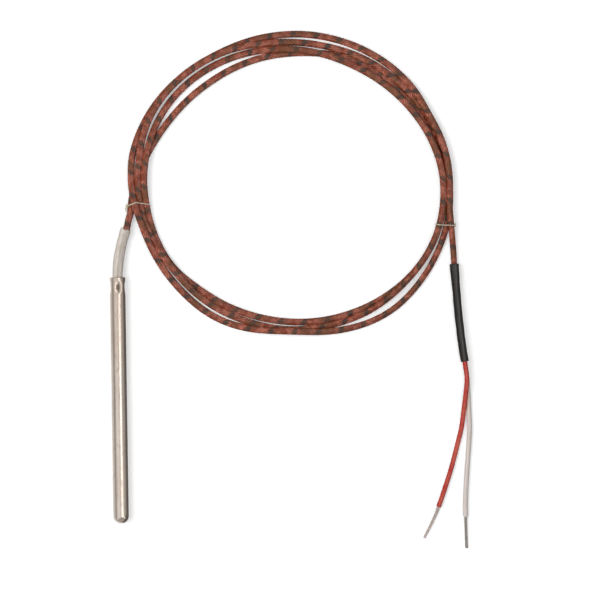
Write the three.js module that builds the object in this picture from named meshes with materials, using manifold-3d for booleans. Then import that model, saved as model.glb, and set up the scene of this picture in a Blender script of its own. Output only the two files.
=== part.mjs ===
// A thermocouple probe with a braided glass-fibre lead, lying on a flat surface.
//
// Millimetres, +Z up. The probe's axis runs along Y, from its closed tip at -Y to its mouth at +Y, and the
// origin is under the middle of the probe, on the surface that the whole object lies on (Z = 0). The lead
// leaves the mouth, is wound clockwise into a loose oval coil held by two thread ties, and ends in a
// heat-shrink tube with two insulated legs whose wire ends are bare.

import * as THREE from "three";
import { mergeVertices } from "three/addons/utils/BufferGeometryUtils.js";
import Module from "manifold-3d";

const wasm = await Module();
wasm.setup();

// ---------------------------------------------------------------- driving dimensions

const SHEATH_LENGTH = 101.6; // 4 inches, tip plug included
const SHEATH_RADIUS = 3.175; // 1/4 inch outside diameter
const SHEATH_WALL = 0.71; // 0.028 inch
const SHEATH_SIDES = 32;
const BORE_RADIUS = SHEATH_RADIUS - SHEATH_WALL;
const TIP_Y = -SHEATH_LENGTH / 2;
const MOUTH_Y = SHEATH_LENGTH / 2;
const AXIS_Z = SHEATH_RADIUS;

const PLUG_CORNER = 1.65; // radius of the tip's rounded corner
const PLUG_SHOULDER_Y = TIP_Y + 1.9;
const PLUG_SPIGOT_LENGTH = 2.1;
const SEAM_GAP = 0.1; // between two turned pieces that meet face to face
const FACE_GAP = 0.3; // between two pieces of the lead that meet face to face

const CRIMP = { y: 46.7, count: 4, halfLength: 3.1, halfWidth: 1.75, depth: 0.5, lean: -7 };

const LEAD = { width: 2.4, height: 2.7 }; // the braided jacket over both legs
const LEAD_SIDES = 8;
const LEG_RADIUS = 1.0;
const CORE_RADIUS = 0.52;
const CORE_BORE_RADIUS = 0.68;
const SLEEVE = { radius: 2.15, bore: 1.72, start: MOUTH_Y - 13.8 };
const SHRINK = { width: 3.45, height: 4.8, boreWidth: 2.7, boreHeight: 4.1 };
const LEG_STACK = 1.0; // each leg's height above or below the middle of the heat-shrink tube

const WIRE_RADIUS = 0.4;
const WIRE_SPACING = 1.9;
// A hot-end wire leaves the junction and runs into a bead's hole: [share of half the spacing, y].
const HOT_WIRE_ROUTE = [[0.53, -44.8], [0.79, -44.0], [1, -43.0], [1, -40], [1, -20], [1, 9.6]];
const BEAD = { count: 4, radius: 2.0, hole: 0.6, length: 12.5, firstY: -43.0 };
const JUNCTION = { radius: 0.95, y: -45.9 };
const CEMENT = { start: 12, end: 34, bore: 1.75 };

// The coil: an oval, and how far its outer and inner sides stand out from it, as [degrees, distance].
const COIL = { x: 72.0, y: 88.9, halfWidth: 65.4, halfDepth: 60.4, height: 5.6 };
const COIL_OUTER = [
  [0, 1.8], [10, 1.4], [20, 0.8], [25, 0.7], [35, 1.7], [45, 2.2], [60, 2.6], [85, 2.7], [100, 2.1],
  [115, 1.5], [135, 1.5], [150, 2.0], [160, 2.5], [170, 2.4], [179, 1.5], [184, 1.9], [188, 2.9],
  [190.5, 0.4], [195, -0.3], [205, 0.0], [215, 1.1], [225, 2.0], [235, 3.1], [243, 3.4], [255, 2.8],
  [268, 1.9], [280, 3.3], [290, 5.0], [300, 5.7], [308, 5.9], [320, 5.2], [330, 4.1], [337, 3.4],
  [340.5, 2.9], [344, 5.2], [349, 3.1], [354, 2.1],
];
const COIL_INNER = [
  [0, -4.1], [10, -4.9], [20, -5.7], [30, -6.5], [40, -7.4], [55, -7.7], [75, -7.2], [90, -7.8],
  [105, -8.8], [120, -9.8], [135, -10.1], [145, -9.7], [155, -8.7], [165, -6.8], [170, -5.8], [180, -6.0],
  [195, -6.0], [205, -5.4], [215, -5.1], [235, -5.5], [250, -5.3], [260, -4.9], [270, -4.3], [280, -3.8],
  [295, -3.2], [310, -2.4], [325, -2.1], [340, -2.3], [350, -3.1],
];
const COIL_STEP = 5; // degrees between two corners of the coil's outline, at most
const TIE = { thickness: 0.4, clearance: 0.3, width: 0.6, slack: 0.35, lift: 0.1 };
const TIE_GROOVE = { width: 1.6, overrun: 4 }; // under the coil, where a tie's lower side lies
const TIE_LEFT_ANGLE = 186.5;
const TIE_RIGHT_ANGLE = 347;

// Routes, from the probe outwards. Z is the height of the middle of the lead or leg.
const LEAD_START_ROUTE = [
  [0, 10, AXIS_Z], [0, 24, AXIS_Z], [0, 37, AXIS_Z], [0, 44, AXIS_Z], [0.1, 50.8, AXIS_Z], [0.35, 55.5, 3.1],
  [1.05, 60, 2.85], [2.2, 65, 2.5], [3.9, 70.4, 2.25], [4.8, 74.4, 1.8], [5.4, 77.0, 1.5],
];
const SLEEVE_END_Y = 70.4;
const LEAD_END_ROUTE = [
  [138.5, 66.4, 2.4], [138.7, 63.6, 2.0], [139.0, 59.0, 1.6], [139.2, 54.3, 1.9], [139.5, 49.0, 2.2],
  [139.8, 43.6, 2.4],
];
const SHRINK_ROUTE = [
  [139.2, 54.3], [139.7, 46.2], [140.3, 37.7], [141.4, 25.5], [142.9, 13.9],
];
const LEG_START = { x: 139.9, y: 43.0 }; // inside the heat-shrink tube
const RED_ROUTE = [
  [143.7, 7.1, 3.2], [143.2, 1.1, 2.9], [142.4, -5.3, 1.9], [141.3, -13.2, 0.97], [139.9, -18.8, 0.97],
  [136.4, -31.4, 0.97], [131.4, -45.8, 0.97],
];
const RED_BARE_ROUTE = [[128.9, -51.7, 0.75], [125.1, -59.1, 0.56]];
const WHITE_ROUTE = [
  [143.9, 7.1, 1.2], [144.2, 1.0, 0.97], [144.4, -5.3, 0.97], [144.6, -13.2, 0.97], [144.3, -18.8, 0.97],
  [143.0, -34.7, 0.97], [142.5, -43.6, 0.97], [142.4, -50.1, 0.97],
];
const WHITE_BARE_ROUTE = [[142.5, -56.1, 0.75], [142.7, -63.5, 0.56]];

// ---------------------------------------------------------------- materials

function look(color, roughness, metalness = 0) {
  return new THREE.MeshStandardMaterial({ color, roughness, metalness });
}

const STAINLESS = look(0xb3aaa2, 0.32, 1);
const IRON = look(0x6f6d6b, 0.45, 1);
const CONSTANTAN = look(0xa89684, 0.4, 1);
const CERAMIC = look(0xe9e4d8, 0.6);
const CEMENT_GREY = look(0xcfc9bc, 0.9);
const GLASS_SLEEVE = look(0xe4ded2, 0.85);
const BRAID = look(0x8a4631, 0.7);
const THREAD = look(0xd9ccb4, 0.85);
const SHRINK_BLACK = look(0x1d1b1b, 0.5);
const RED_INSULATION = look(0xb32018, 0.6);
const WHITE_INSULATION = look(0xdcc6b6, 0.7);

// ---------------------------------------------------------------- geometry helpers

const radians = THREE.MathUtils.degToRad;

function point(coordinates) {
  return new THREE.Vector3(...coordinates);
}

function curveThrough(coordinates) {
  return new THREE.CatmullRomCurve3(coordinates.map(point));
}

// The part of a curve from one fraction of its length to another, as a curve of its own.
function stretch(curve, from, to, count = 24) {
  const points = [];
  for (let i = 0; i <= count; i++) {
    points.push(curve.getPointAt(from + ((to - from) * i) / count));
  }
  return new THREE.CatmullRomCurve3(points);
}

// The fraction of a curve's length at which it passes a Y.
function fractionAtY(curve, y) {
  const steps = 2000;
  const sign = Math.sign(curve.getPointAt(0).y - y);
  for (let i = 1; i <= steps; i++) {
    if (Math.sign(curve.getPointAt(i / steps).y - y) !== sign) return i / steps;
  }
  return 1;
}

function ovalPoints(across, along, sides) {
  const points = [];
  for (let i = 0; i < sides; i++) {
    const turn = ((i + 0.5) / sides) * 2 * Math.PI;
    points.push(new THREE.Vector2((across / 2) * Math.cos(turn), (along / 2) * Math.sin(turn)));
  }
  return points;
}

// A tube along a curve: an oval of a width and a height, with an oval bore when boreWidth is given.
function tube(curve, steps, sides, { width, height, boreWidth = 0, boreHeight = boreWidth }) {
  const startNormal = curve.computeFrenetFrames(steps).normals[0];
  const upright = Math.abs(startNormal.z) > 0.7; // the section's first axis stands upright
  const oval = (w, h) => (upright ? ovalPoints(h, w, sides) : ovalPoints(w, h, sides));
  const section = new THREE.Shape(oval(width, height));
  if (boreWidth) section.holes.push(new THREE.Path(oval(boreWidth, boreHeight)));
  return new THREE.ExtrudeGeometry(section, { steps, extrudePath: curve });
}

// A piece turned about the probe's axis. The profile's points are [radius, y], from the tip to the mouth
// on the outside and back along the bore or the axis.
function turned(profile, sides = SHEATH_SIDES) {
  const closed = [...profile, profile[0]];
  const points = closed.map(([radius, y]) => new THREE.Vector2(radius, y));
  return new THREE.LatheGeometry(points, sides).translate(0, 0, AXIS_Z);
}

function toSolid(geometry) {
  const bare = geometry.clone();
  bare.deleteAttribute("normal");
  bare.deleteAttribute("uv");
  const merged = mergeVertices(bare, 1e-4);
  const vertProperties = new Float32Array(merged.attributes.position.array);
  const triVerts = new Uint32Array(merged.index.array);
  return new wasm.Manifold(new wasm.Mesh({ numProp: 3, vertProperties, triVerts }));
}

function toGeometry(solid) {
  const mesh = solid.getMesh();
  const geometry = new THREE.BufferGeometry();
  const positions = new Float32Array(mesh.vertProperties);
  geometry.setAttribute("position", new THREE.BufferAttribute(positions, mesh.numProp));
  geometry.setIndex(new THREE.BufferAttribute(new Uint32Array(mesh.triVerts), 1));
  geometry.computeVertexNormals();
  return geometry;
}

const thermocouple = new THREE.Group();

function addPart(name, geometry, material) {
  const mesh = new THREE.Mesh(geometry, material);
  mesh.name = name;
  thermocouple.add(mesh);
  return mesh;
}

// ---------------------------------------------------------------- the probe

// How far the crimping tool has pushed the wall in, at a point beside the axis.
function crimpDepth(x, y, z) {
  const turn = Math.atan2(z - AXIS_Z, x);
  let depth = 0;
  for (let i = 0; i < CRIMP.count; i++) {
    const centre = radians(90 + CRIMP.lean) + (i * 2 * Math.PI) / CRIMP.count;
    const off = Math.atan2(Math.sin(turn - centre), Math.cos(turn - centre));
    const along = (y - CRIMP.y) / CRIMP.halfLength;
    const around = (off * SHEATH_RADIUS) / CRIMP.halfWidth;
    const reach = Math.min(1, Math.hypot(along, around));
    depth = Math.max(depth, CRIMP.depth * Math.cos((reach * Math.PI) / 2) ** 2);
  }
  return depth;
}

function pressCrimps(geometry) {
  const position = geometry.attributes.position;
  for (let i = 0; i < position.count; i++) {
    const x = position.getX(i);
    const y = position.getY(i);
    const z = position.getZ(i);
    const radius = Math.hypot(x, z - AXIS_Z);
    const scale = (radius - crimpDepth(x, y, z)) / radius;
    position.setXYZ(i, x * scale, y, AXIS_Z + (z - AXIS_Z) * scale);
  }
  return geometry;
}

function makeSheath() {
  const lip = 0.22;
  const start = PLUG_SHOULDER_Y + SEAM_GAP;
  const crimpStart = CRIMP.y - CRIMP.halfLength;
  const crimpLength = 2 * CRIMP.halfLength;
  const crimpRings = 10;
  const crimpYs = [];
  for (let i = 0; i <= crimpRings; i++) crimpYs.push(crimpStart + (crimpLength * i) / crimpRings);
  const outside = crimpYs.map((y) => [SHEATH_RADIUS, y]);
  const inside = crimpYs.map((y) => [BORE_RADIUS, y]).reverse();
  const mouth = [
    [SHEATH_RADIUS, MOUTH_Y - lip], [SHEATH_RADIUS - lip, MOUTH_Y], [BORE_RADIUS + lip, MOUTH_Y],
    [BORE_RADIUS, MOUTH_Y - lip],
  ];
  const profile = [[SHEATH_RADIUS, start], ...outside, ...mouth, ...inside, [BORE_RADIUS, start]];
  addPart("probe_sheath", pressCrimps(turned(profile)), STAINLESS);
}

function makeTipPlug() {
  const spigotRadius = BORE_RADIUS - SEAM_GAP;
  const corner = [];
  const cornerSteps = 6;
  for (let i = 0; i <= cornerSteps; i++) {
    const turn = ((i / cornerSteps) * Math.PI) / 2;
    const radius = SHEATH_RADIUS - PLUG_CORNER + PLUG_CORNER * Math.sin(turn);
    corner.push([radius, TIP_Y + PLUG_CORNER * (1 - Math.cos(turn))]);
  }
  const profile = [
    [0, TIP_Y], ...corner, [SHEATH_RADIUS, PLUG_SHOULDER_Y], [spigotRadius, PLUG_SHOULDER_Y],
    [spigotRadius, PLUG_SHOULDER_Y + PLUG_SPIGOT_LENGTH], [0, PLUG_SHOULDER_Y + PLUG_SPIGOT_LENGTH],
  ];
  addPart("sheath_tip_plug", turned(profile), STAINLESS);
}

function makeJunctionAndWires() {
  const bead = new THREE.SphereGeometry(JUNCTION.radius, 16, 10);
  addPart("measuring_junction", bead, IRON).position.set(0, JUNCTION.y, AXIS_Z);
  const wires = [["iron_wire_hot_end", 1, IRON], ["constantan_wire_hot_end", -1, CONSTANTAN]];
  for (const [name, side, material] of wires) {
    const offset = (side * WIRE_SPACING) / 2;
    const route = HOT_WIRE_ROUTE.map(([share, y]) => [offset * share, y, AXIS_Z]);
    const size = { width: 2 * WIRE_RADIUS, height: 2 * WIRE_RADIUS };
    addPart(name, tube(curveThrough(route), 20, 8, size), material);
  }
}

function makeInsulatorBeads() {
  for (let i = 0; i < BEAD.count; i++) {
    const section = new THREE.Shape().absarc(0, 0, BEAD.radius, 0, 2 * Math.PI);
    for (const side of [-1, 1]) {
      section.holes.push(new THREE.Path().absarc((side * WIRE_SPACING) / 2, 0, BEAD.hole, 0, 2 * Math.PI));
    }
    const settings = { depth: BEAD.length, bevelEnabled: false, curveSegments: 12 };
    const geometry = new THREE.ExtrudeGeometry(section, settings);
    const mesh = addPart(`insulator_bead_${i + 1}`, geometry, CERAMIC);
    mesh.rotation.x = -Math.PI / 2;
    mesh.position.set(0, BEAD.firstY + i * (BEAD.length + FACE_GAP), AXIS_Z);
  }
}

function makeCement() {
  const radius = BORE_RADIUS - SEAM_GAP;
  const profile = [
    [radius, CEMENT.start], [radius, CEMENT.end], [CEMENT.bore, CEMENT.end], [CEMENT.bore, CEMENT.start],
  ];
  addPart("potting_cement", turned(profile, 16), CEMENT_GREY);
}

// ---------------------------------------------------------------- the lead

function makeSleeveAndLeadStart() {
  const lead = curveThrough(LEAD_START_ROUTE);
  addPart("lead_start", tube(lead, 16, LEAD_SIDES, LEAD), BRAID);
  const sleeve = stretch(lead, fractionAtY(lead, SLEEVE.start), fractionAtY(lead, SLEEVE_END_Y));
  const size = { width: 2 * SLEEVE.radius, height: 2 * SLEEVE.radius, boreWidth: 2 * SLEEVE.bore };
  const geometry = pressCrimps(tube(sleeve, 24, 12, size));
  addPart("fibreglass_sleeve", geometry, GLASS_SLEEVE);
}

// A point at an angle on the coil's oval, moved outwards by a distance.
function onCoil(degrees, out) {
  const turn = radians(degrees);
  const across = Math.cos(turn) / COIL.halfWidth;
  const along = Math.sin(turn) / COIL.halfDepth;
  const reach = 1 / Math.hypot(across, along) + out;
  return new THREE.Vector2(COIL.x + reach * Math.cos(turn), COIL.y + reach * Math.sin(turn));
}

function coilSide(stations) {
  const corners = [];
  stations.forEach(([degrees, out], i) => {
    const last = i === stations.length - 1;
    const [nextDegrees, nextOut] = last ? [stations[0][0] + 360, stations[0][1]] : stations[i + 1];
    const count = Math.ceil((nextDegrees - degrees) / COIL_STEP);
    for (let k = 0; k < count; k++) {
      const share = k / count;
      corners.push(onCoil(degrees + (nextDegrees - degrees) * share, out + (nextOut - out) * share));
    }
  });
  return corners;
}

// A side's distance out from the oval at an angle.
function sideAt(stations, degrees) {
  const next = stations.findIndex(([station]) => station > degrees);
  const [a, b] = [stations[next - 1], stations[next]];
  return THREE.MathUtils.mapLinear(degrees, a[0], b[0], a[1], b[1]);
}

// A frame of thread around the coil at an angle, and the groove under the coil that its lower side lies in.
function makeTie(name, degrees) {
  const outer = onCoil(degrees, sideAt(COIL_OUTER, degrees) + TIE.slack);
  const inner = onCoil(degrees, sideAt(COIL_INNER, degrees) - TIE.slack);
  const middle = outer.clone().add(inner).multiplyScalar(0.5);
  const across = outer.distanceTo(inner) + 2 * TIE.clearance;
  const low = TIE.thickness + TIE.lift;
  const high = COIL.height + TIE.clearance;
  const frame = (half, bottom, top) => [
    new THREE.Vector2(-half, bottom), new THREE.Vector2(half, bottom), new THREE.Vector2(half, top),
    new THREE.Vector2(-half, top),
  ];
  const section = new THREE.Shape(frame(across / 2 + TIE.thickness, TIE.lift, high + TIE.thickness));
  section.holes.push(new THREE.Path(frame(across / 2, low, high)));
  const geometry = new THREE.ExtrudeGeometry(section, { depth: TIE.width, bevelEnabled: false });
  geometry.translate(0, 0, -TIE.width / 2).rotateX(Math.PI / 2);
  const heading = Math.atan2(outer.y - inner.y, outer.x - inner.x);
  geometry.rotateZ(heading).translate(middle.x, middle.y, 0);
  addPart(name, geometry, THREAD);

  const grooveHeight = 2 * (low + TIE.clearance);
  const groove = new THREE.BoxGeometry(across + TIE_GROOVE.overrun, TIE_GROOVE.width, grooveHeight);
  return groove.rotateZ(heading).translate(middle.x, middle.y, 0);
}

function makeCoilAndTies() {
  const outline = new THREE.Shape(coilSide(COIL_OUTER));
  outline.holes.push(new THREE.Path(coilSide(COIL_INNER)));
  const ring = toSolid(new THREE.ExtrudeGeometry(outline, { depth: COIL.height, bevelEnabled: false }));
  const leftGroove = toSolid(makeTie("coil_tie_left", TIE_LEFT_ANGLE));
  const rightGroove = toSolid(makeTie("coil_tie_right", TIE_RIGHT_ANGLE));
  addPart("lead_coil", toGeometry(ring.subtract(leftGroove).subtract(rightGroove)), BRAID);
}

function makeLeadEnd() {
  addPart("lead_end", tube(curveThrough(LEAD_END_ROUTE), 8, LEAD_SIDES, LEAD), BRAID);
}

function makeHeatShrink() {
  const route = SHRINK_ROUTE.map(([x, y]) => [x, y, SHRINK.height / 2]);
  addPart("heat_shrink", tube(curveThrough(route), 12, 12, SHRINK), SHRINK_BLACK);
}

// One leg: the insulated wire from inside the heat-shrink tube to its bare end.
function makeLeg(name, coreName, side, route, bareRoute, insulation, metal) {
  const z = SHRINK.height / 2 + side * LEG_STACK;
  const inside = SHRINK_ROUTE.filter(([, y]) => y < LEG_START.y).map(([x, y]) => [x, y, z]);
  const start = [LEG_START.x, LEG_START.y, z];
  const whole = curveThrough([start, ...inside, ...route, ...bareRoute]);
  const bareFrom = fractionAtY(whole, route.at(-1)[1]);
  const size = { width: 2 * LEG_RADIUS, height: 2 * LEG_RADIUS, boreWidth: 2 * CORE_BORE_RADIUS };
  addPart(name, tube(stretch(whole, 0, bareFrom), 24, 8, size), insulation);
  addPart(coreName, tube(whole, 28, 8, { width: 2 * CORE_RADIUS, height: 2 * CORE_RADIUS }), metal);
}

makeSheath();
makeTipPlug();
makeJunctionAndWires();
makeInsulatorBeads();
makeCement();
makeSleeveAndLeadStart();
makeCoilAndTies();
makeLeadEnd();
makeHeatShrink();
makeLeg("red_insulation", "constantan_conductor", 1, RED_ROUTE, RED_BARE_ROUTE, RED_INSULATION, CONSTANTAN);
makeLeg("white_insulation", "iron_conductor", -1, WHITE_ROUTE, WHITE_BARE_ROUTE, WHITE_INSULATION, IRON);

export default thermocouple;
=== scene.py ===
# A thermocouple probe with a braided glass-fibre lead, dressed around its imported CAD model.
#
# Metres, +Z up. The probe's axis runs along Y, from its closed tip at -Y to its mouth at +Y, and everything
# lies on the floor at Z = 0. The lead leaves the mouth, is wound clockwise into a loose oval coil held by two
# thread ties, and ends in a heat-shrink tube with two insulated legs whose wire ends are bare.

import math
import random

import bpy
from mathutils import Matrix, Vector
from mathutils.kdtree import KDTree


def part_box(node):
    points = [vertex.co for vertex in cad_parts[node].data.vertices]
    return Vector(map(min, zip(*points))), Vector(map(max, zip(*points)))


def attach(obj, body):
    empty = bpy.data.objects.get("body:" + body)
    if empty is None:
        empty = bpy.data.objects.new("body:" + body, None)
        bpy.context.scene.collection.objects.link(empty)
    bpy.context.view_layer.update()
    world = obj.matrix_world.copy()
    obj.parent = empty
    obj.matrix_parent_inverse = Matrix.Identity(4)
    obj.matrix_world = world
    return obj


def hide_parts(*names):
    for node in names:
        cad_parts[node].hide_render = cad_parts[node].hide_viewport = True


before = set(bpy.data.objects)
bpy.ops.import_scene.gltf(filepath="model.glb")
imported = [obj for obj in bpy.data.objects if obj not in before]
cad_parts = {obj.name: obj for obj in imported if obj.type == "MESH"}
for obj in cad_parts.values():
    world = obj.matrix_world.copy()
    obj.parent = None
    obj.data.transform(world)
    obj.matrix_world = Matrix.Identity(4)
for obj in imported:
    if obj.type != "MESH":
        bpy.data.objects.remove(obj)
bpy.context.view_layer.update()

MM = 0.001
TAU = 2 * math.pi
UP = Vector((0, 0, 1))
SEED = 7

# -------------------------------- sizes taken from the frame

_, SHEATH_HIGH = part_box("probe_sheath")
PLUG_LOW, PLUG_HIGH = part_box("sheath_tip_plug")
SHRINK_LOW, SHRINK_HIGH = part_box("heat_shrink")

SHEATH_RADIUS = (PLUG_HIGH.x - PLUG_LOW.x) / 2
SHEATH_WALL = 0.71 * MM
AXIS_Z = SHEATH_RADIUS
TIP_Y = PLUG_LOW.y
MOUTH_Y = SHEATH_HIGH.y
WELD_Y = TIP_Y + 3.4 * MM  # where the end plug is welded to the tube
CRIMP_Y = 0.0467
CRIMP_COUNT = 4
CRIMP_HALF_LENGTH = 3.1 * MM
CRIMP_HALF_WIDTH = 1.75 * MM
CRIMP_DEPTH = 0.75 * MM
CRIMP_LEAN = math.radians(-7)

# -------------------------------- the lead's route

LEAD_RADIUS = 1.2 * MM  # on average: the lead is oval, as its two conductors lie side by side under the braid
LEAD_FLATTENED = 0.18
LEAD_LOW = LEAD_RADIUS * (1 - LEAD_FLATTENED)
LEAD_WIDE = LEAD_RADIUS * (1 + LEAD_FLATTENED)
LEAD_LENGTH = 1.46
LEAD_STARTS = [
    (0.0, 0.0240, 0.003175), (0.0, 0.0370, 0.003175), (0.0, 0.0440, 0.003175),
    (0.0001, 0.0508, 0.003175), (0.00035, 0.0555, 0.0031), (0.00105, 0.0600, 0.00285),
    (0.0022, 0.0650, 0.0025), (0.0039, 0.0704, 0.00225), (0.0048, 0.0744, 0.0018),
]
LEAD_ENDS = [
    (0.1382, 0.0702, 0.0029), (0.1385, 0.0664, 0.0024), (0.1387, 0.0636, 0.0020), (0.1390, 0.0590, 0.0016),
    (0.1392, 0.0543, 0.0019), (0.1395, 0.0490, 0.0022), (0.1398, 0.0436, 0.0024),
]

# The coil is an oval. Each turn lies a little way out from it, and on what is already there: a station is
# (degrees, millimetres out from the oval, strands underneath). The lead travels with falling degrees.
COIL_CENTRE = (0.0720, 0.08872)
COIL_HALF_WIDTH = 0.0654
COIL_HALF_DEPTH = 0.0604
COIL_STEP = 3.0
COIL_SOFTENING = 2
STRAND_GAP = 2.6 * MM  # between the middles of two strands side by side
STRAND_REST_Z = LEAD_LOW + 0.24 * MM
STRAND_RISE = 2 * LEAD_LOW
LAP_LENGTH = 0.39  # of one turn of the coil
RIGHT_TIE_DISTANCE = 0.28  # where the lead first passes the right tie
TIE_ROLL = 0.75  # radians: the lead leans over this far where it passes the right tie
END_ROLL = 0.1
END_ROLL_STARTS = 80 * MM  # before the lead's far end
END_ROLL_LENGTH = 50 * MM
WANDER_ROLL = 0.1
WANDER_LENGTH = 50 * MM
SETTLING_PASSES = 20
SETTLING_NEIGHBOURS = 4  # points this near along the lead are the same strand
COIL_TURNS = [
    [(190, 2.2, 0.3), (180, -1, 0.05), (170, -4.3, 0), (160, -6.6, 0), (150, -8, 0), (140, -8.6, 0),
     (128, -8.8, 0), (115, -8.2, 0), (100, -7.3, 0), (90, -6.8, 0), (80, -6, 0), (70, -4.8, 0),
     (60, -4.5, 0), (45, -4.5, 0), (30, -4.2, 0), (20, -3.6, 0), (10, -3, 0), (0, -2.2, 0.04),
     (-10, -1.45, 0.1), (-20, -0.75, 0.1), (-30, -0.5, 0.1), (-40, -0.7, 0.03), (-50, -1.1, 0),
     (-60, -1.5, 0), (-80, -2.4, 0), (-90, -2.95, 0), (-100, -3.5, 0), (-110, -3.95, 0), (-125, -4.2, 0),
     (-135, -4.1, 0), (-143, -3.75, 0), (-150, -3.9, 0), (-157, -4.3, 0), (-163, -4.5, 0),
     (-170, -4.7, 0.3), (-175, -4.7, 0.7)],
    [(180, -4.55, 1), (165, -4.45, 1), (160, -4.1, 0.6), (155, -3.9, 0.2), (145, -3.5, 0), (137, -3.5, 0),
     (128, -3.55, 0), (115, -3.9, 0), (105, -4.3, 0.1), (100, -4.5, 0.2), (95, -4.8, 0.5),
     (90, -5.1, 0.85), (80, -5.6, 1), (70, -6.1, 1), (60, -6.5, 0.85), (50, -6.45, 0.8), (40, -6.1, 0.8),
     (30, -5.5, 0.85), (20, -4.5, 0.9), (10, -3.3, 0.95), (0, -2.2, 1), (-10, -1.35, 1), (-20, -0.7, 1),
     (-30, -0.45, 1), (-40, -0.4, 1), (-50, 0.1, 1), (-60, 0.5, 0.6), (-70, 0.5, 0.25), (-80, 0.2, 0),
     (-90, 0.3, 0), (-100, -0.2, 0), (-105, -0.6, 0), (-112, -1.1, 0), (-120, -1.6, 0), (-128, -2.5, 0.1),
     (-135, -3.1, 0.6), (-143, -3.6, 0.95), (-150, -3.6, 1), (-160, -3.2, 0.85), (-167, -2.8, 0.6),
     (-175, -2.6, 0.9)],
    [(180, -2.4, 1), (170, -2.2, 1), (160, -0.75, 1), (153, -0.2, 1), (145, 0.05, 1), (135, 0, 1),
     (125, -0.3, 1), (115, -0.7, 1), (107, -1.2, 0.8), (100, -1.75, 0.2), (90, -2.1, 0), (75, -2.3, 0),
     (60, -2, 0), (45, -1.9, 0), (30, -1.5, 0), (15, -0.8, 0), (0, 0.25, 0.04), (-10, 1.4, 0.1),
     (-20, 2.3, 0.1), (-30, 3.2, 0.1), (-40, 4.2, 0.03), (-50, 5.1, 0), (-57, 5.05, 0), (-65, 4.3, 0),
     (-72, 3.3, 0.15), (-80, 1.95, 0.6), (-86, 0.95, 1), (-93, 0.6, 1), (-100, 0.95, 0.85),
     (-105, 1.45, 0.4), (-111, 2, 0), (-119, 2.15, 0), (-127, 1.55, 0), (-135, 0.6, 0),
     (-143, -0.15, 0.15), (-150, -0.85, 0.8), (-155, -1.2, 1.4), (-160, -1.6, 1.45), (-165, -1.5, 1.45),
     (-170, -1.2, 1.35), (-175, -0.6, 1.3)],
    [(180, 0, 1.05), (175, 0.55, 0.9), (170, 1.15, 0.4), (165, 1.1, 0.1), (155, 0.85, 0), (145, 0.55, 0),
     (137, 0.2, 0), (128, 0, 0), (120, -0.15, 0), (112, 0.1, 0), (103, 0.55, 0), (95, 0.9, 0),
     (85, 1.35, 0), (70, 1.45, 0), (60, 1.35, 0), (50, 1.15, 0), (42, 0.7, 0.05), (36, 0.25, 0.45),
     (30, -0.5, 0.9), (25, -0.8, 1), (20, -0.4, 1), (10, 0.15, 1), (0, 0.45, 1), (-5, 0.55, 1),
     (-10, 1.45, 1)],
]


def mix(a, b, share):
    return a + (b - a) * share


def softened(rows, passes):
    """Rows of numbers with their kinks rounded off, and both ends as they were."""
    for _ in range(passes):
        middle = [(a + 2 * b + c) / 4 for a, b, c in zip(rows, rows[1:], rows[2:])]
        rows = [rows[0], *middle, rows[-1]]
    return rows


def coil_point(degrees, out, layer):
    """The place of one station."""
    turn = math.radians(degrees)
    reach = 1 / math.hypot(math.cos(turn) / COIL_HALF_WIDTH, math.sin(turn) / COIL_HALF_DEPTH) + out * MM
    x = COIL_CENTRE[0] + reach * math.cos(turn)
    y = COIL_CENTRE[1] + reach * math.sin(turn)
    return Vector((x, y, STRAND_REST_Z + layer * STRAND_RISE))


def coil_points():
    """The coil's turns as one list of points, a small step apart."""
    stations = []
    for lap, turn in enumerate(COIL_TURNS):
        stations += [(degrees - 360 * lap, out, layer) for degrees, out, layer in turn]
    rows = []
    for start, end in zip(stations, stations[1:]):
        count = max(1, round((start[0] - end[0]) / COIL_STEP))
        rows += [Vector(start).lerp(Vector(end), k / count) for k in range(count)]
    return [coil_point(*row) for row in softened([*rows, Vector(stations[-1])], COIL_SOFTENING)]


def settled(points, clearance, neighbours, passes):
    """The points after strands that press into each other have been pushed apart, none below the floor.

    A flat-lying strand is lower than it is wide, so heights are stretched while distances are compared.
    """
    stretch = clearance / STRAND_RISE
    points = [Vector((p.x, p.y, p.z * stretch)) for p in points]
    floor = STRAND_REST_Z * stretch
    shifts = [Vector() for _ in points]
    for _ in range(passes):
        moved = [p + shift for p, shift in zip(points, shifts)]
        tree = KDTree(len(points))
        for i, p in enumerate(moved):
            tree.insert(p, i)
        tree.balance()
        for i, p in enumerate(moved):
            for q, k, gap in tree.find_range(p, clearance):
                if abs(i - k) > neighbours:
                    shifts[i] += (p - q) / gap * (clearance - gap) / 2
        shifts = softened(shifts, 1)
        for p, shift in zip(points, shifts):
            shift.z = max(shift.z, floor - p.z)
    moved = [p + shift for p, shift in zip(points, shifts)]
    return [Vector((p.x, p.y, p.z / stretch)) for p in moved]


def smooth_curve(points, parts=8):
    """A Catmull-Rom curve through the points, with each step cut into parts."""
    padded = [2 * points[0] - points[1], *points, 2 * points[-1] - points[-2]]
    curve = []
    for a, b, c, d in zip(padded, padded[1:], padded[2:], padded[3:]):
        for k in range(parts):
            t = k / parts
            bend = 2 * a - 5 * b + 4 * c - d
            twist = 3 * b - a - 3 * c + d
            curve.append((2 * b + (c - a) * t + bend * t * t + twist * t ** 3) / 2)
    return [*curve, points[-1]]


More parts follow.
